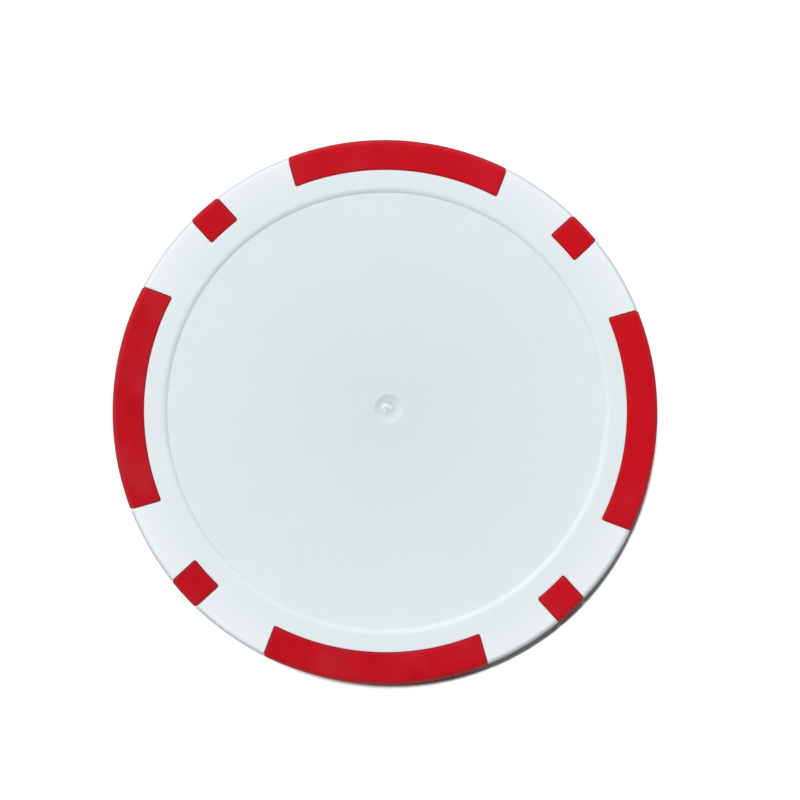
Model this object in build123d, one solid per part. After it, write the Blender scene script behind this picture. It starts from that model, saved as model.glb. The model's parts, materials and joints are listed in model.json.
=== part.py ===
from build123d import *
import os
from math import asin, cos, degrees, radians, sin

# A golf ball marker in the form of a poker chip: a white moulded disc with red inlays in its rim
# and a steel slug inside it. Millimetres. +Z is the chip's axis, upwards, and the origin is the
# centre of the lower rim's plane, which the chip lies on. +X points to the middle of the first
# long edge spot.

# Chip
CHIP_DIAMETER = 40.0
CHIP_THICKNESS = 3.3
EDGE_ROUND = 0.45

# Label recess, alike on both faces
LABEL_DIAMETER = 32.0
RECESS_DEPTH = 0.2
RECESS_WALL_WIDTH = 0.45

# Gate mark near the middle of the upper recess: a round dimple with the torn ring of the gate in it
DIMPLE_CENTRE = (0.14, 0.0)
DIMPLE_DIAMETER = 2.2
DIMPLE_DEPTH = 0.3
GATE_CENTRE = (0.0, 0.14)
GATE_OUTER_DIAMETER = 0.84
GATE_INNER_DIAMETER = 0.36
GATE_BELOW_FLOOR = 0.08
GATE_EDGE_ROUND = 0.08

# Edge spots
SPOT_BAND_WIDTH = 2.35
SPOT_CORNER_ROUND = 0.2
LONG_SPOT_COUNT = 4
LONG_SPOT_ANGLE = 49.8
LONG_SPOT_END_LEAN = 6.5
SQUARE_SPOT_COUNT = 4
SQUARE_SPOT_WIDTH = 2.6

# Hidden tongues, which lock the edge spots into the disc and centre the slug
TONGUE_THICKNESS = 1.2
LONG_TONGUE_ANGLE = 38.0
FLOW_HOLE_DIAMETER = 1.2
FLOW_HOLE_ANGLES = (-13.0, 0.0, 13.0)
SQUARE_TONGUE_NECK_WIDTH = 1.5
SQUARE_TONGUE_HEAD_WIDTH = 3.4
SQUARE_TONGUE_HEAD_LENGTH = 1.5

# Steel slug
SLUG_DIAMETER = 30.0
SLUG_THICKNESS = 1.6
SLUG_HOLE_DIAMETER = 4.0

# How far a cutter, or a stub that joins two shapes, runs past the surface it works on
OVERRUN = 1.0

chip_radius = CHIP_DIAMETER / 2
spot_inner_radius = chip_radius - SPOT_BAND_WIDTH
slug_radius = SLUG_DIAMETER / 2
middle_height = CHIP_THICKNESS / 2
upper_floor_height = CHIP_THICKNESS - RECESS_DEPTH
square_spot_angle = 2 * degrees(asin(SQUARE_SPOT_WIDTH / 2 / spot_inner_radius))


def polar(radius, angle):
    """The point of the XY plane at this radius, and at this angle in degrees from +X."""
    return Vector(radius * cos(radians(angle)), radius * sin(radians(angle)))


def arc_about_axis(radius, angle):
    """An arc about the chip's axis that spans this angle, with its middle on +X."""
    return ThreePointArc(polar(radius, -angle / 2), polar(radius, 0), polar(radius, angle / 2))


def ring_sector(inner_radius, outer_radius, angle):
    """A flat ring sector that spans this angle, with its middle on +X."""
    inner_arc = arc_about_axis(inner_radius, angle)
    outer_arc = arc_about_axis(outer_radius, angle)
    ends = [Line(inner_arc @ end, outer_arc @ end) for end in (0, 1)]
    return make_face([inner_arc, outer_arc, *ends])


def recess_cutter():
    """What the upper label recess takes out of the disc, with its rim at height 0."""
    label_radius = LABEL_DIAMETER / 2
    lip_radius = label_radius + RECESS_WALL_WIDTH
    wall = TangentArc((lip_radius, 0), (label_radius, -RECESS_DEPTH), tangent=(-1, 0))
    outline = Polyline(
        (label_radius, -RECESS_DEPTH),
        (0, -RECESS_DEPTH),
        (0, OVERRUN),
        (lip_radius, OVERRUN),
        (lip_radius, 0),
    )
    return revolve(Plane.XZ * make_face([wall, outline]), Axis.Z)


def chip_blank():
    """The outside of the whole chip: a disc with a round edge and a label recess in each face."""
    disc = extrude(Circle(chip_radius), CHIP_THICKNESS)
    disc = fillet(disc.edges().filter_by(GeomType.CIRCLE), EDGE_ROUND)
    cutter = recess_cutter()
    return disc - Pos(Z=CHIP_THICKNESS) * cutter - mirror(cutter, about=Plane.XY)


def spot_block(inner_angle, end_lean):
    """A prism through the chip's rim, centred on +X. Its ends lean from the radial direction."""
    inner_arc = arc_about_axis(spot_inner_radius, inner_angle)
    end_direction = polar(1, inner_angle / 2 - end_lean)
    upper_end = Line(inner_arc @ 1, inner_arc @ 1 + end_direction * (SPOT_BAND_WIDTH + OVERRUN))
    lower_end = mirror(upper_end, about=Plane.XZ)
    far_side = ThreePointArc(lower_end @ 1, polar((upper_end @ 1).length, 0), upper_end @ 1)
    plan = make_face([inner_arc, upper_end, far_side, lower_end])
    inner_corners = plan.vertices().sort_by(Axis.X)[:2]
    return extrude(fillet(inner_corners, SPOT_CORNER_ROUND), CHIP_THICKNESS)


def tongue(plan):
    """A flat tongue of this plan, in the middle of the chip's thickness."""
    return extrude(Pos(Z=middle_height - TONGUE_THICKNESS / 2) * plan, TONGUE_THICKNESS)


def long_spot(blank):
    """A long edge spot at +X. The white plastic runs through the flow holes in its tongue."""
    block = spot_block(LONG_SPOT_ANGLE, LONG_SPOT_END_LEAN)
    plan = ring_sector(slug_radius, spot_inner_radius + OVERRUN, LONG_TONGUE_ANGLE)
    hole_radius = (slug_radius + spot_inner_radius) / 2
    for angle in FLOW_HOLE_ANGLES:
        plan -= Rot(Z=angle) * Pos(X=hole_radius) * Circle(FLOW_HOLE_DIAMETER / 2)
    return (block & blank) + tongue(plan)


def square_spot(blank):
    """A square edge spot at +X. The wide head of its tongue keeps it from pulling out."""
    block = spot_block(square_spot_angle, square_spot_angle / 2)
    neck_end = spot_inner_radius + OVERRUN
    neck = Rectangle(neck_end, SQUARE_TONGUE_NECK_WIDTH, align=(Align.MIN, Align.CENTER))
    head_end = slug_radius + SQUARE_TONGUE_HEAD_LENGTH
    head = Rectangle(head_end, SQUARE_TONGUE_HEAD_WIDTH, align=(Align.MIN, Align.CENTER))
    plan = neck + head - Circle(slug_radius)
    return (block & blank) + tongue(plan)


def steel_slug():
    """The flat steel ring that gives the chip its weight."""
    plan = Circle(slug_radius) - Circle(SLUG_HOLE_DIAMETER / 2)
    return extrude(Pos(Z=middle_height - SLUG_THICKNESS / 2) * plan, SLUG_THICKNESS)


def gate_dimple():
    """What the gate mark's dimple takes out of the upper recess floor: the cap of a ball."""
    half_width = DIMPLE_DIAMETER / 2
    ball_radius = (half_width**2 + DIMPLE_DEPTH**2) / (2 * DIMPLE_DEPTH)
    ball_height = upper_floor_height + ball_radius - DIMPLE_DEPTH
    return Pos(*DIMPLE_CENTRE, ball_height) * Sphere(ball_radius)


def gate_ring():
    """The low ring that the gate leaves when it tears off, standing in the dimple."""
    plan = Circle(GATE_OUTER_DIAMETER / 2) - Circle(GATE_INNER_DIAMETER / 2)
    top = upper_floor_height - GATE_BELOW_FLOOR
    foot = upper_floor_height - DIMPLE_DEPTH - GATE_EDGE_ROUND
    ring = extrude(Pos(*GATE_CENTRE, foot) * plan, top - foot)
    return fillet(ring.edges().group_by(Axis.Z)[-1], GATE_EDGE_ROUND)


def white_body(blank, inserts):
    """The white disc, with a pocket for every insert and the gate mark in its upper face."""
    body = blank - gate_dimple() + gate_ring()
    for insert in inserts:
        body -= insert
    return body


def main():
    blank = chip_blank()
    inserts = {"steel_slug": steel_slug()}
    for index in range(LONG_SPOT_COUNT):
        turn = Rot(Z=index * 360 / LONG_SPOT_COUNT)
        inserts[f"edge_spot_long_{index + 1}"] = turn * long_spot(blank)
    for index in range(SQUARE_SPOT_COUNT):
        turn = Rot(Z=(index + 0.5) * 360 / SQUARE_SPOT_COUNT)
        inserts[f"edge_spot_square_{index + 1}"] = turn * square_spot(blank)
    nodes = {"body": white_body(blank, inserts.values()), **inserts}

    os.makedirs("parts", exist_ok=True)
    for name, solid in nodes.items():
        export_step(solid, f"parts/{name}.step")


main()
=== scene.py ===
import json
import math

import bmesh
import bpy
import numpy as np
from mathutils import Matrix, Vector


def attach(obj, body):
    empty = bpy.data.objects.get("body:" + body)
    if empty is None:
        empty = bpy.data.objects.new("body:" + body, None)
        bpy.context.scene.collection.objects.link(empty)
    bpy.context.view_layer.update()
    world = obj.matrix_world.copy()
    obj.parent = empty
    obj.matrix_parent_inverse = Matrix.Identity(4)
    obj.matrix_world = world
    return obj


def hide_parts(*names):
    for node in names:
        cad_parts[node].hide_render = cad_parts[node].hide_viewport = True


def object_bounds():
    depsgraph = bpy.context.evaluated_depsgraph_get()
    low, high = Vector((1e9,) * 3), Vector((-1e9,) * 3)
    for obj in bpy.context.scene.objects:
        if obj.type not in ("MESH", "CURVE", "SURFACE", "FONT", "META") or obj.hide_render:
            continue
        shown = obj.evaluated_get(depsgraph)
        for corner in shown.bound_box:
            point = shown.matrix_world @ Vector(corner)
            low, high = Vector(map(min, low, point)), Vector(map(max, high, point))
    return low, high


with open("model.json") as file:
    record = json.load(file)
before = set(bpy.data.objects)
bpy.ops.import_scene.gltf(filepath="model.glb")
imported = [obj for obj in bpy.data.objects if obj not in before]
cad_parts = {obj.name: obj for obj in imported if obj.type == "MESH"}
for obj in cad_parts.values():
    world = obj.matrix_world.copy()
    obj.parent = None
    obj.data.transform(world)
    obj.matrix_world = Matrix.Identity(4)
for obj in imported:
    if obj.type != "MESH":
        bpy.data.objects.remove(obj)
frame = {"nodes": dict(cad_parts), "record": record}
cad_low, cad_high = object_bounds()

# A golf ball marker in the form of a poker chip, on a pale floor. Its white body and eight red
# spots are rebuilt here as finer meshes than the CAD's, and the hidden slug keeps its CAD mesh. +Z
# is the chip's axis, and +X points to the middle of the first long spot.

MM = 0.001
mounts = {mount["name"]: mount for mount in frame["record"]["mounts"]}

# ---- Sizes of the chip, in millimetres ----------------------------------------------------------

# The CAD box is a hair smaller than the true circle, since its facets cut it. So this is rounded.
CHIP_RADIUS = round((cad_high.x - cad_low.x) / 2 / MM, 1)
CHIP_HEIGHT = (cad_high.z - cad_low.z) / MM
RECESS_FLOOR_HEIGHT = mounts["label_recess_upper"]["pos_m"][2] / MM
RECESS_DEPTH = CHIP_HEIGHT - RECESS_FLOOR_HEIGHT
MIDDLE_HEIGHT = CHIP_HEIGHT / 2

LABEL_RADIUS = 16.0
RECESS_WALL_WIDTH = 0.45
LIP_RADIUS = LABEL_RADIUS + RECESS_WALL_WIDTH
EDGE_ROUND = 0.45
SPOT_BAND_WIDTH = 2.35
SPOT_INNER_RADIUS = CHIP_RADIUS - SPOT_BAND_WIDTH
SPOT_CORNER_ROUND = 0.2
LONG_SPOT_HALF_ANGLE = math.radians(24.9)
LONG_SPOT_END_LEAN = math.radians(6.5)
SQUARE_SPOT_HALF_WIDTH = 1.3

# Both plastics are rounded where they meet, and a hair apart: a fine line shows round each spot.
SPOT_SEAM_ROUND = 0.18
BODY_SEAM_ROUND = 0.03
SEAM_GAP = 0.02

# The mould's two halves leave a faint ridge round the side. A step is (height above the middle,
# share of the ridge's height).
PARTING_RIDGE_HEIGHT = 0.015
SIDE_STEPS = (
    (0.9, 0),
    (0.5, 0),
    (0.2, 0),
    (0.08, 0),
    (0.05, 0.1),
    (0.03, 0.5),
    (0.015, 0.9),
    (0, 1),
)

# The gate mark: a dimple with the torn stub of the gate in it, which is a few lumps on an open
# ring. A lump is (x, y, height above the dimple's bottom).
DIMPLE_CENTRE = (0.14, 0.0)
DIMPLE_RADIUS = 1.08
DIMPLE_DEPTH = 0.32
DIMPLE_STEEPNESS = 1.2
GATE_PATCH_RADIUS = 1.8
GATE_LUMPS = (
    (-0.35, 0.07, 0.15),
    (-0.13, 0.22, 0.17),
    (0.05, 0.21, 0.16),
    (0.25, 0.09, 0.15),
    (-0.12, -0.13, 0.13),
)
GATE_LUMP_RADIUS = 0.16
STUB_CENTRE = (0, 0.1)
STUB_RADIUS = 0.55

# How fine the meshes are. First come the radii of rows on the flat faces, the distances of single
# rows from a crease and from the end of a round, and the steps on each round.
RECESS_FLOOR_ROWS = (2.1, 3.5, 6.0, 9.0, 12.0, 14.0, 15.0, 15.6, 15.9)
INNER_RIM_ROWS = (16.7, 16.9, 17.1)
OUTER_RIM_ROWS = (18.3, 18.7, 19.1, 19.35)
CREASE_ROW = 0.02
ROUND_END_ROW = 0.04
WALL_STEPS = 9
EDGE_STEPS = 10

# The steps on a seam's round, the distances of the rows beyond it, and the least that the first of
# those stands off the round
SEAM_ROUND_STEPS = 5
SEAM_ROWS = np.array([0.05, 0.08, 0.11, 0.15, 0.2, 0.26, 0.34])
SEAM_CLEARANCE = 0.015

# The width of a column at the rim. Then come the columns of the patch in the middle of each face,
# the spacing and number of the close rings of its gate mark, and the radii of those outside them.
COLUMN_STEP = 0.3
PATCH_COLUMNS = 128
GATE_RING_STEP = 0.04
GATE_RINGS = 33
GATE_OUTER_RINGS = (1.4, 1.55)


def seam_steps(seam_round):
    """Distances from a seam at which the mesh has an edge: close together on the seam's round."""
    angles = np.radians(np.linspace(0, 90, SEAM_ROUND_STEPS + 1))
    on_round = seam_round * (1 - np.cos(angles))
    return np.concatenate([on_round, SEAM_ROWS[SEAM_ROWS > seam_round + SEAM_CLEARANCE]])


# ---- The chip's section -------------------------------------------------------------------------
# A row of a section is (radius, height, outward normal's radial part, its vertical part).


def flat_rows(radii, height):
    """Rows on a level surface that faces up."""
    return [(radius, height, 0.0, 1.0) for radius in radii]


def arc_rows(centre, radius, start, end, count):
    """Rows along a convex arc, without its first. Its angles are in degrees above outwards."""
    rows = []
    for angle in np.radians(np.linspace(start, end, count + 1)[1:]):
        along, up = math.cos(angle), math.sin(angle)
        rows.append((centre[0] + radius * along, centre[1] + radius * up, along, up))
    return rows


def recess_rows():
    """The recess floor, its sharp foot and its rounded wall, up to the lip."""
    wall_radius = (RECESS_WALL_WIDTH**2 + RECESS_DEPTH**2) / (2 * RECESS_DEPTH)
    foot_angle = 180 - math.degrees(math.acos(RECESS_WALL_WIDTH / wall_radius))
    floor_radii = (*RECESS_FLOOR_ROWS, LABEL_RADIUS - CREASE_ROW, LABEL_RADIUS)
    wall_centre = (LIP_RADIUS, CHIP_HEIGHT - wall_radius)
    wall = arc_rows(wall_centre, wall_radius, foot_angle, 90, WALL_STEPS)
    return flat_rows(floor_radii, RECESS_FLOOR_HEIGHT) + wall


def inner_rim_rows():
    """The flat rim between the lip of the recess and the seam at the spots' inner edge."""
    near_seam = [SPOT_INNER_RADIUS - step for step in seam_steps(BODY_SEAM_ROUND)[::-1]]
    return flat_rows([LIP_RADIUS + ROUND_END_ROW, *INNER_RIM_ROWS, *near_seam], CHIP_HEIGHT)


def band_rows(inner_radius, seam_round):
    """The spots' band: the flat rim, the round edge and the side down to its middle."""
    side_start = CHIP_RADIUS - EDGE_ROUND
    near_seam = [inner_radius + step for step in seam_steps(seam_round)]
    near_edge = [*OUTER_RIM_ROWS, side_start - ROUND_END_ROW, side_start]
    rows = flat_rows(near_seam + near_edge, CHIP_HEIGHT)
    rows += arc_rows((side_start, CHIP_HEIGHT - EDGE_ROUND), EDGE_ROUND, 90, 0, EDGE_STEPS)
    for above_middle, share in SIDE_STEPS:
        radius = CHIP_RADIUS + share * PARTING_RIDGE_HEIGHT
        rows.append((radius, MIDDLE_HEIGHT + above_middle, 1.0, 0.0))
    return rows


def whole_section(upper_rows):
    """The upper rows, down to the middle of the side, and their mirror image below it."""
    lower_rows = [(r, CHIP_HEIGHT - z, nr, -nz) for r, z, nr, nz in reversed(upper_rows[:-1])]
    return np.array(upper_rows + lower_rows)


# ---- Where the edge spots lie -------------------------------------------------------------------


def long_half_angle(radius):
    """Half the angle that a long spot spans at these radii. Its straight ends lean inwards."""
    lean_there = np.arcsin(SPOT_INNER_RADIUS * math.sin(LONG_SPOT_END_LEAN) / radius)
    return LONG_SPOT_HALF_ANGLE - (LONG_SPOT_END_LEAN - lean_there)


def square_half_angle(radius):
    """Half the angle that a square spot spans at these radii. Its sides are parallel."""
    return np.arcsin(SQUARE_SPOT_HALF_WIDTH / radius)


SPOTS = []
for quarter in range(4):
    SPOTS.append(("long", quarter + 1, math.radians(90 * quarter), long_half_angle))
    SPOTS.append(("square", quarter + 1, math.radians(90 * quarter + 45), square_half_angle))


# ---- Surfaces -----------------------------------------------------------------------------------


def sector_angles(start, end, reach, seam_round):
    """The angles of a sector's columns, one row for each section row. Its columns are closer
    together near both ends. start, end and reach, the radius that distances round it are measured
    at, have one value for each row."""
    start, end, reach = start[:, None], end[:, None], reach[:, None]
    steps = seam_steps(seam_round)
    near_start = start + steps / reach
    near_end = end - steps[::-1] / reach
    count = max(3, round((end[-1, 0] - start[-1, 0]) * CHIP_RADIUS / COLUMN_STEP))
    shares = np.linspace(0, 1, count + 1)[1:-1]
    middle = near_start[:, -1:] + (near_end[:, :1] - near_start[:, -1:]) * shares
    return np.hstack([near_start, middle, near_end])


def corner_shift(into_spot, outwards):
    """How far a point moves so that the square corners of a spot's plan become round. The arguments
    are its distances past the spot's end line and past its inner edge, and so are the results."""
    depth = np.minimum(into_spot, outwards)
    along = np.maximum(into_spot, outwards) - depth
    fade = np.clip(1 - (depth / SPOT_CORNER_ROUND) ** 2, 0, 1) ** 2
    angle = math.radians(45) * np.clip(1 - along / SPOT_CORNER_ROUND, 0, 1)
    move_along = fade * np.where(angle > 0, SPOT_CORNER_ROUND * (1 - np.sin(angle)) - along, 0)
    move_in = fade * SPOT_CORNER_ROUND * (1 - np.cos(angle))
    nearer_end = into_spot > outwards
    return np.where(nearer_end, move_along, move_in), np.where(nearer_end, move_in, move_along)


def sector_points(section, start, end, red, inner_radius, is_spot):
    """The points of one sector, rows by columns by three. red says whether the sector is a spot's,
    and is_spot whether the piece is the spot itself or the white body round it."""
    seam_round = SPOT_SEAM_ROUND if is_spot else BODY_SEAM_ROUND
    radius, height, normal_out, normal_up = (section[:, [i]] for i in range(4))
    reach = np.maximum(radius, inner_radius)
    angle = sector_angles(start, end, reach[:, 0], seam_round)
    from_start = (angle - start[:, None]) * reach
    from_end = (end[:, None] - angle) * reach
    into_spot = np.minimum(from_start, from_end) * (1 if red else -1)
    turn = np.where((from_start < from_end) == red, 1, -1)
    outwards = radius - inner_radius + 0 * angle
    if is_spot:
        from_seam = np.minimum(into_spot, outwards)
    else:
        from_seam = np.maximum(-into_spot, -outwards)
    round_shift, out_shift = corner_shift(into_spot, outwards)
    short_of_flat = np.clip(seam_round - from_seam, 0, seam_round)
    drop = seam_round - np.sqrt(seam_round**2 - short_of_flat**2)
    angle = angle + turn * round_shift / reach
    radius = radius + out_shift - drop * normal_out
    height = height - drop * normal_up
    return np.stack([radius * np.cos(angle), radius * np.sin(angle), height + 0 * angle], axis=2)


def grid_faces(grid):
    """Quads between neighbouring rows and columns of a grid of vertex numbers."""
    corners = (grid[:-1, :-1], grid[:-1, 1:], grid[1:, 1:], grid[1:, :-1])
    return np.stack(corners, axis=2).reshape(-1, 4).tolist()


def end_wall(column):
    """A flat wall that closes a symmetric section, which this column of vertex numbers follows. It
    is a ladder up to the last row before the straight side, and from there a fan to its rows."""
    last = len(column) - 1
    middle = last // 2
    fan_row = middle - len(SIDE_STEPS) - 1
    top, foot = column[fan_row], column[last - fan_row]
    faces = [[top, column[middle], foot]]
    for row in range(fan_row):
        faces.append([column[row], column[row + 1], column[last - row - 1], column[last - row]])
    for row in range(fan_row + 1, middle):
        faces.append([top, column[row], column[row + 1]])
        faces.append([foot, column[last - row - 1], column[last - row]])
    return faces


def stitch(inner, inner_angles, outer, outer_angles):
    """Triangles between two closed rings of vertices that start at the same angle."""
    inner_next = [*inner_angles[1:], inner_angles[0] + math.tau]
    outer_next = [*outer_angles[1:], outer_angles[0] + math.tau]
    faces, i, j = [], 0, 0
    while i < len(inner) or j < len(outer):
        here, there = inner[i % len(inner)], outer[j % len(outer)]
        if j == len(outer) or (i < len(inner) and inner_next[i] < outer_next[j]):
            i += 1
            faces.append((here, inner[i % len(inner)], there))
        else:
            j += 1
            faces.append((here, outer[j % len(outer)], there))
    return faces


def make_piece(name, points, faces, material, node):
    """A closed smooth piece, its points in millimetres, that stands for one CAD node."""
    mesh = bpy.data.meshes.new(name)
    mesh.from_pydata((np.asarray(points) * MM).tolist(), [], faces)
    work = bmesh.new()
    work.from_mesh(mesh)
    loose = [vertex for vertex in work.verts if not vertex.link_faces]
    bmesh.ops.delete(work, geom=loose, context="VERTS")
    bmesh.ops.recalc_face_normals(work, faces=work.faces)
    for face in work.faces:
        face.smooth = True
    work.to_mesh(mesh)
    work.free()
    mesh.materials.append(material)
    piece = bpy.data.objects.new(name, mesh)
    bpy.context.scene.collection.objects.link(piece)
    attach(piece, "root")
    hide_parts(node)
    return piece


def make_spot(kind, number, middle, half_angle, material):
    """One red inlay: a closed block, a hair smaller than its pocket."""
    inner_radius = SPOT_INNER_RADIUS + SEAM_GAP
    section = whole_section(band_rows(inner_radius, SPOT_SEAM_ROUND))
    radii = section[:, 0]
    half = half_angle(radii) - SEAM_GAP / radii
    points = sector_points(section, middle - half, middle + half, True, inner_radius, True)
    grid = np.arange(points[:, :, 0].size).reshape(points.shape[:2])
    faces = grid_faces(grid)
    faces += grid_faces(grid[[0, -1]])
    faces += end_wall(grid[:, 0]) + end_wall(grid[:, -1])
    name, node = f"{kind}_spot_{number}", f"edge_spot_{kind}_{number}"
    return make_piece(name, points.reshape(-1, 3), faces, material, node)


# ---- The white body -----------------------------------------------------------------------------


def gate_relief(x, y):
    """The upper face's height near the middle, with the gate's dimple and torn stub."""
    from_middle = np.hypot(x - DIMPLE_CENTRE[0], y - DIMPLE_CENTRE[1]) / DIMPLE_RADIUS
    from_middle = np.clip(from_middle, 0, 1)
    height = RECESS_FLOOR_HEIGHT - DIMPLE_DEPTH * (1 - from_middle**2) ** DIMPLE_STEEPNESS
    for lump_x, lump_y, lump_height in GATE_LUMPS:
        off_lump = np.hypot(x - lump_x, y - lump_y) / GATE_LUMP_RADIUS
        lump_top = RECESS_FLOOR_HEIGHT - DIMPLE_DEPTH + lump_height
        height = height + (lump_top - height).clip(0) * np.exp(-(off_lump**2))
    return height


def flat_relief(x, y):
    """The lower face's height near the middle."""
    return 0 * x + RECESS_DEPTH


def centre_patch(relief, radii, first_number, outer, outer_angles):
    """Points and faces of the middle of a face, joined to the ring of vertices round it."""
    angles = outer_angles[0] + np.arange(PATCH_COLUMNS) * math.tau / PATCH_COLUMNS
    x, y = np.outer(radii, np.cos(angles)), np.outer(radii, np.sin(angles))
    points = np.stack([x, y, relief(x, y)], axis=2).reshape(-1, 3)
    middle_height = relief(np.zeros(1), np.zeros(1))[0]
    points = np.vstack([points, [[0, 0, middle_height]]])
    grid = first_number + np.arange(x.size).reshape(x.shape)
    grid = np.hstack([grid, grid[:, :1]])
    middle = first_number + x.size
    faces = grid_faces(grid)
    faces += [(middle, a, b) for a, b in zip(grid[0, :-1].tolist(), grid[0, 1:].tolist())]
    faces += stitch(grid[-1, :-1].tolist(), angles, outer.tolist(), outer_angles)
    return points, faces


def make_body(material):
    """The white disc, with a pocket for each spot, a recess in each face and the gate mark."""
    inner_rows = recess_rows() + inner_rim_rows()
    section = whole_section(inner_rows + band_rows(SPOT_INNER_RADIUS, BODY_SEAM_ROUND)[1:])
    reach = np.maximum(section[:, 0], SPOT_INNER_RADIUS)
    first_band_row = len(inner_rows) - 1
    last_band_row = len(section) - 1 - first_band_row

    blocks, is_red = [], []
    for index, (_, _, middle, half_angle) in enumerate(SPOTS):
        _, _, next_middle, next_half_angle = SPOTS[(index + 1) % len(SPOTS)]
        if next_middle < middle:
            next_middle += math.tau
        start, end = middle - half_angle(reach), middle + half_angle(reach)
        next_start = next_middle - next_half_angle(reach)
        for low, high, red in ((start, end, True), (end, next_start, False)):
            block = sector_points(section, low, high, red, SPOT_INNER_RADIUS, False)[:, :-1]
            blocks.append(block)
            is_red += [red] * block.shape[1]
    points = np.hstack(blocks)
    is_red = np.array(is_red)

    grid = np.arange(points[:, :, 0].size).reshape(points.shape[:2])
    around = np.hstack([grid, grid[:, :1]])
    band = slice(first_band_row, last_band_row + 1)
    faces = grid_faces(around[: first_band_row + 1]) + grid_faces(around[last_band_row:])
    for column, in_spot in enumerate(is_red):
        rows = [first_band_row, last_band_row] if in_spot else band
        faces += grid_faces(around[rows, column : column + 2])
    for column in np.flatnonzero(is_red != np.roll(is_red, 1)):
        faces += end_wall(grid[band, column])

    points = points.reshape(-1, 3)
    near_gate = GATE_RING_STEP * np.arange(1, GATE_RINGS + 1)
    gate_radii = np.concatenate([near_gate, GATE_OUTER_RINGS, [GATE_PATCH_RADIUS]])
    flat_radii = GATE_PATCH_RADIUS * np.array([1 / 3, 2 / 3, 1])
    for relief, radii, row in ((gate_relief, gate_radii, 0), (flat_relief, flat_radii, -1)):
        outer = grid[row]
        outer_angles = np.unwrap(np.arctan2(points[outer, 1], points[outer, 0]))
        patch_points, patch_faces = centre_patch(relief, radii, len(points), outer, outer_angles)
        points = np.vstack([points, patch_points])
        faces += patch_faces
    return make_piece("chip_body", points, faces, material, "body")


# ---- Materials ----------------------------------------------------------------------------------

# Colours, as linear shares of red, green and blue. The pairs are the ends of an uneven tone.
RIM_WHITES = ((0.675, 0.72, 0.74), (0.70, 0.745, 0.765))
OUTER_RIM_WHITE = (0.735, 0.775, 0.795)
# Painted shade: the white side is painted darker than the faces.
SHADED_SIDE_WHITE = (0.52, 0.55, 0.565)
RECESS_WHITES = ((0.665, 0.715, 0.73), (0.685, 0.735, 0.75))
GREENISH_WHITE = (0.57, 0.64, 0.645)
PEBBLE_GREY = (0.56, 0.61, 0.62)
# Painted shade: the bottom of the dimple is painted this darker grey.
DIMPLE_SHADE_GREY = (0.42, 0.47, 0.475)
TORN_WHITE = (0.75, 0.79, 0.795)
DEEP_REDS = ((0.385, 0.0045, 0.011), (0.445, 0.0055, 0.013))
# Painted sheen, laid on the red in patches.
SHEEN_RED = (0.415, 0.013, 0.021)
# Painted light: the red on the chip's brighter side.
PAINTED_LIGHT_RED = (0.57, 0.0035, 0.01)
# Painted shade: the red side is painted darker than the faces.
SHADED_SIDE_RED = (0.4, 0.0025, 0.0075)
STEEL_GREYS = ((0.42, 0.42, 0.43), (0.55, 0.55, 0.56))
FLOOR_WHITES = ((0.915, 0.915, 0.915), (0.93, 0.93, 0.93))

# Most values of a noise lie between these.
NOISE_RANGE = (0.3, 0.7)

# The side's painted shade (a darker tone) and its rougher finish come in on the round edge, between
# these distances from the outside.
SIDE_TONE_START = 0.36
SIDE_TONE_END = 0.12

# Radii between which the rim grows paler outwards, the recess grows darker and greener inwards, and
# the dimple's painted shade comes in
PALER_RIM = (17.2, 19.7)
DARKER_GREENER_RECESS = (15, 2)
DIMPLE_SHADE_RADII = (1.6, 1.3)

# Painted light: the red grows brighter and redder across the whole chip, in this direction.
PAINTED_LIGHT_DIRECTION = (0.82, 0.57, 0)


class Nodes:
    """A node tree, with a short call for each kind of node that the scene needs."""

    def __init__(self, tree):
        self.nodes = tree.nodes
        self.links = tree.links
        self.nodes.clear()

    def put(self, socket, value):
        """Joins a socket to another, or sets its own value."""
        if isinstance(value, bpy.types.NodeSocket):
            self.links.new(value, socket)
        else:
            socket.default_value = value

    def operate_vector(self, operation, first, second=None, scale=None):
        node = self.nodes.new("ShaderNodeVectorMath")
        node.operation = operation
        self.put(node.inputs[0], first)
        if second is not None:
            self.put(node.inputs[1], second)
        if scale is not None:
            node.inputs["Scale"].default_value = scale
        is_number = operation in ("LENGTH", "DOT_PRODUCT")
        return node.outputs["Value" if is_number else "Vector"]

    def calculate(self, operation, first, second):
        node = self.nodes.new("ShaderNodeMath")
        node.operation = operation
        self.put(node.inputs[0], first)
        self.put(node.inputs[1], second)
        return node.outputs[0]

    def rescale(self, value, low, high, new_low, new_high, smooth=False):
        node = self.nodes.new("ShaderNodeMapRange")
        if smooth:
            node.interpolation_type = "SMOOTHSTEP"
        for name, setting in {
            "Value": value,
            "From Min": low,
            "From Max": high,
            "To Min": new_low,
            "To Max": new_high,
        }.items():
            self.put(node.inputs[name], setting)
        return node.outputs["Result"]

    def blend(self, share, first, second):
        """A colour between two others, each of which is a socket or three shares."""
        node = self.nodes.new("ShaderNodeMix")
        node.data_type = "RGBA"
        self.put(node.inputs[0], share)
        for socket, colour in ((node.inputs[6], first), (node.inputs[7], second)):
            is_plain = isinstance(colour, tuple)
            self.put(socket, (*colour, 1.0) if is_plain else colour)
        return node.outputs[2]


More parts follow.
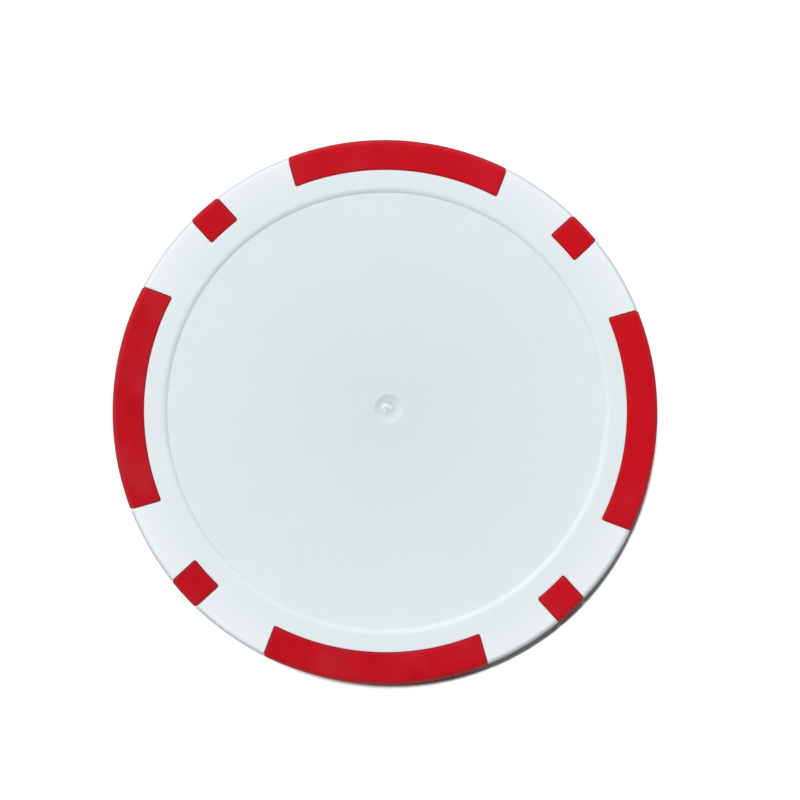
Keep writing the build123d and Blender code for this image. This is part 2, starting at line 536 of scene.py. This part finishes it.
class Finish(Nodes):
    """A material's nodes. Places on the chip are in millimetres."""

    def __init__(self, name):
        self.material = bpy.data.materials.new(name)
        self.material.use_nodes = True
        super().__init__(self.material.node_tree)
        self.shader = self.nodes.new("ShaderNodeBsdfPrincipled")
        output = self.nodes.new("ShaderNodeOutputMaterial")
        self.links.new(self.shader.outputs["BSDF"], output.inputs["Surface"])
        place = self.nodes.new("ShaderNodeTexCoord").outputs["Object"]
        self.place = self.operate_vector("SCALE", place, scale=1 / MM)

    def noise(self, size, detail=2.0, roughness=0.5, stretch=(1, 1, 1)):
        """Noise from 0 to 1 whose largest features are about this size, in millimetres."""
        node = self.nodes.new("ShaderNodeTexNoise")
        self.put(node.inputs["Vector"], self.operate_vector("MULTIPLY", self.place, stretch))
        node.inputs["Scale"].default_value = 1 / size
        node.inputs["Detail"].default_value = detail
        node.inputs["Roughness"].default_value = roughness
        return node.outputs["Fac"]

    def bump(self, height, distance, strength=1.0, normal=None):
        """A normal bent by a height from 0 to 1, whose full range is this many millimetres."""
        node = self.nodes.new("ShaderNodeBump")
        self.put(node.inputs["Height"], height)
        self.put(node.inputs["Strength"], strength)
        node.inputs["Distance"].default_value = distance * MM
        if normal is not None:
            self.put(node.inputs["Normal"], normal)
        return node.outputs["Normal"]

    def height(self):
        """The height above the lower rim, in millimetres."""
        return self.operate_vector("DOT_PRODUCT", self.place, (0, 0, 1))

    def from_axis(self, centre=(0, 0)):
        """Millimetres from the chip's axis, or from the vertical line at centre."""
        from_centre = self.operate_vector("SUBTRACT", self.place, (*centre, 0))
        level = self.operate_vector("MULTIPLY", from_centre, (1, 1, 0))
        return self.operate_vector("LENGTH", level)

    def on_side(self):
        """1 on the chip's side and 0 on its faces. It changes over on the round edge."""
        start, end = CHIP_RADIUS - SIDE_TONE_START, CHIP_RADIUS - SIDE_TONE_END
        return self.rescale(self.from_axis(), start, end, 0, 1, smooth=True)


def rim_tone(tree, waves):
    """The rim's white, a little paler towards the edge, with painted shade that makes it greyer on
    the side.
    """
    tone = tree.blend(waves, *RIM_WHITES)
    near_edge = tree.rescale(tree.from_axis(), *PALER_RIM, 0, 1)
    tone = tree.blend(near_edge, tone, OUTER_RIM_WHITE)
    # Painted shade: greyer on the side.
    return tree.blend(tree.on_side(), tone, SHADED_SIDE_WHITE)


def recess_tone(tree, waves, pebbles):
    """The recess floor's white, darker and greener towards the gate mark and speckled by its
    pebbles.
    """
    tone = tree.blend(waves, *RECESS_WHITES)
    near_gate = tree.rescale(tree.from_axis(), *DARKER_GREENER_RECESS, 0, 0.5)
    tone = tree.blend(near_gate, tone, GREENISH_WHITE)
    speckle = tree.rescale(pebbles, *NOISE_RANGE, 0, 0.12)
    return tree.blend(speckle, tone, PEBBLE_GREY)


def gate_tone(tree, tone):
    """The recess tone, with painted shade at the bottom of the dimple, and paler on the torn stub.
    """
    depth_below = tree.calculate("SUBTRACT", RECESS_FLOOR_HEIGHT, tree.height())
    in_dimple = tree.rescale(tree.from_axis(), *DIMPLE_SHADE_RADII, 0, 1)
    # Painted shade, deepest at the bottom of the dimple.
    deep = tree.rescale(depth_below, 0.15, DIMPLE_DEPTH, 0, 0.4, smooth=True)
    tone = tree.blend(tree.calculate("MULTIPLY", deep, in_dimple), tone, DIMPLE_SHADE_GREY)
    torn = tree.rescale(depth_below, 0.25, 0.15, 0, 1, smooth=True)
    at_stub = tree.rescale(tree.from_axis(STUB_CENTRE), STUB_RADIUS - 0.15, STUB_RADIUS, 1, 0)
    return tree.blend(tree.calculate("MULTIPLY", torn, at_stub), tone, TORN_WHITE)


def white_plastic():
    """Cool white ABS: a fine pebbled texture in the recess, a smoother rim and a rougher side that
    is painted darker as shade.
    """
    tree = Finish("white_abs")
    in_recess = tree.rescale(tree.from_axis(), LABEL_RADIUS - 0.1, LIP_RADIUS, 1, 0, smooth=True)
    pebbles = tree.noise(0.16, detail=3, roughness=0.6)
    waves = tree.noise(4.0)
    in_recess_tone = gate_tone(tree, recess_tone(tree, waves, pebbles))
    base = tree.blend(in_recess, rim_tone(tree, waves), in_recess_tone)
    tree.put(tree.shader.inputs["Base Color"], base)
    tree.shader.inputs["Subsurface Weight"].default_value = 0.5
    tree.shader.inputs["Subsurface Radius"].default_value = (1, 1, 1)
    tree.shader.inputs["Subsurface Scale"].default_value = 0.3 * MM
    roughness = tree.rescale(in_recess, 0, 1, 0.36, 0.5)
    duller = tree.rescale(tree.on_side(), 0, 1, 0, 0.4)
    uneven = tree.rescale(waves, 0, 1, -0.03, 0.03)
    for change in (duller, uneven):
        roughness = tree.calculate("ADD", roughness, change)
    tree.put(tree.shader.inputs["Roughness"], roughness)
    soft = tree.bump(tree.noise(1.2), 0.004)
    strength = tree.rescale(in_recess, 0, 1, 0.15, 1)
    tree.put(tree.shader.inputs["Normal"], tree.bump(pebbles, 0.006, strength, soft))
    tree.shader.inputs["IOR"].default_value = 1.53
    return tree.material


def red_plastic():
    """Deep red ABS with a soft sheen and faint clouds, painted sheen in hazy patches, painted light
    towards one side, and painted shade on its side.
    """
    tree = Finish("red_abs")
    clouds = tree.noise(1.4, detail=4, roughness=0.6)
    grain = tree.noise(0.2)
    base = tree.blend(tree.rescale(clouds, *NOISE_RANGE, 0, 1), *DEEP_REDS)
    # Painted sheen: patches that lift the red's green and blue, like a soft reflection.
    painted_sheen = tree.rescale(tree.noise(4.5, detail=3), 0.45, 0.7, 0, 1, smooth=True)
    base = tree.blend(painted_sheen, base, SHEEN_RED)
    # Painted light: brighter and redder towards one side of the chip.
    across = tree.operate_vector("DOT_PRODUCT", tree.place, PAINTED_LIGHT_DIRECTION)
    painted_light_share = tree.rescale(across, -CHIP_RADIUS, CHIP_RADIUS, 0, 0.5)
    base = tree.blend(painted_light_share, base, PAINTED_LIGHT_RED)
    # Painted shade on the side.
    base = tree.blend(tree.on_side(), base, SHADED_SIDE_RED)
    tree.put(tree.shader.inputs["Base Color"], base)
    roughness = tree.rescale(clouds, *NOISE_RANGE, 0.38, 0.46)
    duller = tree.rescale(tree.on_side(), 0, 1, 0, 0.35)
    tree.put(tree.shader.inputs["Roughness"], tree.calculate("ADD", roughness, duller))
    soft = tree.bump(tree.noise(1.0), 0.004)
    tree.put(tree.shader.inputs["Normal"], tree.bump(grain, 0.003, 0.6, soft))
    tree.shader.inputs["IOR"].default_value = 1.5
    return tree.material


def slug_steel():
    """Plain stamped steel with a fine rolled grain."""
    tree = Finish("stamped_steel")
    grain = tree.noise(0.1, detail=3, stretch=(0.05, 1, 1))
    tree.put(tree.shader.inputs["Base Color"], tree.blend(grain, *STEEL_GREYS))
    tree.put(tree.shader.inputs["Roughness"], tree.rescale(grain, 0, 1, 0.3, 0.45))
    tree.put(tree.shader.inputs["Normal"], tree.bump(grain, 0.004, 0.5))
    tree.shader.inputs["Metallic"].default_value = 1.0
    return tree.material


def pale_floor():
    """The plain pale floor."""
    tree = Finish("pale_floor")
    tree.put(tree.shader.inputs["Base Color"], tree.blend(tree.noise(60.0), *FLOOR_WHITES))
    tree.shader.inputs["Roughness"].default_value = 0.9
    tree.shader.inputs["Specular IOR Level"].default_value = 0.0
    return tree.material


# ---- Camera, floor and light --------------------------------------------------------------------
# Angles are in degrees, and bearings go from +X towards +Y.

# The camera, fitted to the photograph. Its distance and the point it looks at are in millimetres.
CAMERA_DISTANCE = 100.05
CAMERA_TILT = 4.017
CAMERA_BEARING = -116.9
CAMERA_ROLL = 2.48
CAMERA_LENS = 61.56
AIM_POINT = (0.925, 0.665)

# The floor and the key light, in metres and watts
FLOOR_RADIUS = 0.25
KEY_BEARING = 133
KEY_ELEVATION = 73.9
KEY_DISTANCE = 3.0
KEY_LENGTH = 0.4
KEY_WIDTH = 0.12
KEY_POWER = 98.8

# The surround: the softbox's bearing and the strengths of each part. Then come the heights that the
# parts change at, as sines of the elevation, and how far round they reach, as cosines of the angle
# from the softbox's bearing.
SOFTBOX_BEARING = 112
HORIZON = 1.2
LOW_SIDE = 0.2
BRIGHT_SIDE = 0.62
DIM_SIDE = 0.05
OVERHEAD = 0.05
HORIZON_BASE = 0.02
HORIZON_TOP_DIM_SIDE = 0.08
HORIZON_TOP_SOFTBOX_SIDE = 0.4
SOFTBOX_FOOT = (0.42, 0.58)
SOFTBOX_TOP = (0.7, 0.88)
SOFTBOX_SPREAD = (-0.3, 0.8)
UNDER_SOFTBOX_SPREAD = (-0.4, 0.3)


def direction_to(bearing, elevation):
    """The unit vector that points this way."""
    bearing, elevation = math.radians(bearing), math.radians(elevation)
    level = math.cos(elevation)
    return Vector((level * math.cos(bearing), level * math.sin(bearing), math.sin(elevation)))


def make_camera():
    """The camera looks almost straight down from just off the chip's axis."""
    back = direction_to(CAMERA_BEARING, 90 - CAMERA_TILT)
    data = bpy.data.cameras.new("camera")
    data.lens = CAMERA_LENS
    data.sensor_width = 36
    data.clip_start = 0.005
    data.clip_end = 20
    camera = bpy.data.objects.new("camera", data)
    aim = Vector((*AIM_POINT, CHIP_HEIGHT)) * MM
    right = Vector((0, 1, 0)).cross(back).normalized()
    level = Matrix((right, back.cross(right), back)).transposed()
    turned = level @ Matrix.Rotation(math.radians(CAMERA_ROLL), 3, "Z")
    camera.matrix_world = Matrix.Translation(aim + back * CAMERA_DISTANCE * MM) @ turned.to_4x4()
    bpy.context.scene.collection.objects.link(camera)
    bpy.context.scene.camera = camera


def make_floor(material):
    """A round floor, wide enough to fill the view from any side."""
    work = bmesh.new()
    bmesh.ops.create_circle(work, cap_ends=True, segments=96, radius=FLOOR_RADIUS)
    mesh = bpy.data.meshes.new("floor")
    work.to_mesh(mesh)
    work.free()
    mesh.materials.append(material)
    floor = bpy.data.objects.new("floor", mesh)
    bpy.context.scene.collection.objects.link(floor)


def make_key():
    """A level strip light that faces the chip. Only the surround shows as gloss on the plastic."""
    data = bpy.data.lights.new("key", "AREA")
    data.shape = "RECTANGLE"
    data.size = KEY_LENGTH
    data.size_y = KEY_WIDTH
    data.energy = KEY_POWER
    light = bpy.data.objects.new("key", data)
    direction = direction_to(KEY_BEARING, KEY_ELEVATION)
    light.location = direction * KEY_DISTANCE
    light.rotation_euler = direction.to_track_quat("Z", "Y").to_euler()
    light.visible_glossy = False
    bpy.context.scene.collection.objects.link(light)


def make_surround():
    """The studio round the chip: a wide softbox high on the key's side, above a pale horizon."""
    world = bpy.data.worlds.new("surround")
    world.use_nodes = True
    tree = Nodes(world.node_tree)
    background = tree.nodes.new("ShaderNodeBackground")
    output = tree.nodes.new("ShaderNodeOutputWorld")
    tree.links.new(background.outputs["Background"], output.inputs["Surface"])
    direction = tree.nodes.new("ShaderNodeTexCoord").outputs["Generated"]
    softbox = direction_to(SOFTBOX_BEARING, 0)
    towards_softbox = tree.operate_vector("DOT_PRODUCT", direction, softbox)
    height = tree.operate_vector("DOT_PRODUCT", direction, (0, 0, 1))
    side = tree.rescale(towards_softbox, *SOFTBOX_SPREAD, DIM_SIDE, BRIGHT_SIDE, smooth=True)
    under_softbox = tree.rescale(towards_softbox, *UNDER_SOFTBOX_SPREAD, 0, 1, smooth=True)
    low_side = tree.rescale(under_softbox, 0, 1, DIM_SIDE, LOW_SIDE)
    horizon_top = tree.rescale(under_softbox, 0, 1, HORIZON_TOP_DIM_SIDE, HORIZON_TOP_SOFTBOX_SIDE)
    low = tree.rescale(height, HORIZON_BASE, horizon_top, HORIZON, low_side, smooth=True)
    middle = tree.rescale(height, *SOFTBOX_FOOT, low, side, smooth=True)
    strength = tree.rescale(height, *SOFTBOX_TOP, middle, OVERHEAD, smooth=True)
    tree.put(background.inputs["Strength"], strength)
    bpy.context.scene.world = world


def make_light():
    """A high key light from the photograph's upper left, and the surround."""
    make_key()
    make_surround()
    bpy.context.scene.view_settings.view_transform = "Standard"


# ---- The scene ----------------------------------------------------------------------------------

make_camera()
make_light()
make_floor(pale_floor())
make_body(white_plastic())
red = red_plastic()
for kind, number, middle, half_angle in SPOTS:
    make_spot(kind, number, middle, half_angle, red)
slug = frame["nodes"]["steel_slug"]
slug.data.materials.clear()
slug.data.materials.append(slug_steel())
